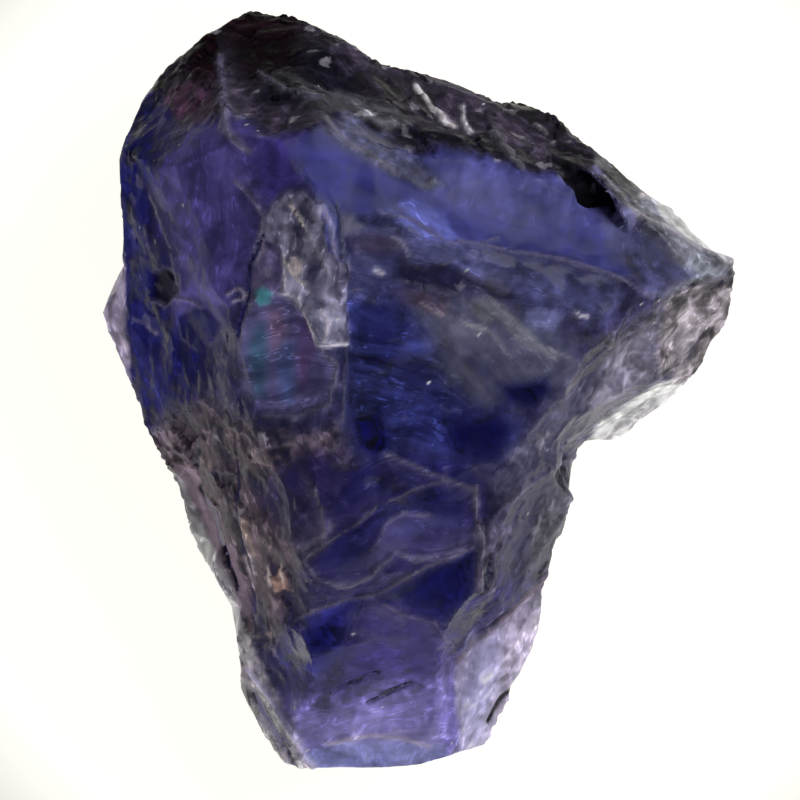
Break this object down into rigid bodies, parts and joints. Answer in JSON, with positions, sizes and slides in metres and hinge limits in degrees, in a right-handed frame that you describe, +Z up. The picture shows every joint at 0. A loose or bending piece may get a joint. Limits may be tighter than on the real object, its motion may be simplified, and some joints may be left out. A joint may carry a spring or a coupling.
{
  "type": "rough iolite crystal",
  "caption": "Rough, broken crystal of see-through violet-blue iolite, with fracture faces, ledges and shell-shaped scars, lying on a flat cleavage face.",
  "frame": {"origin": "on the surface that the stone lies on, below the middle of its outline seen from above", "axes": "+Z up, out of the face that is looked at; +Y along the stone's length towards its broad end; +X towards its beak"},
  "size_m": [0.012, 0.0144, 0.0072],
  "materials": {
    "iolite": "natural fracture surface of a see-through violet-blue crystal, glassy where it is fresh and matt grey where it is worn"
  },
  "bodies": {
    "root": {"iolite": "iolite"}
  },
  "joints": []
}
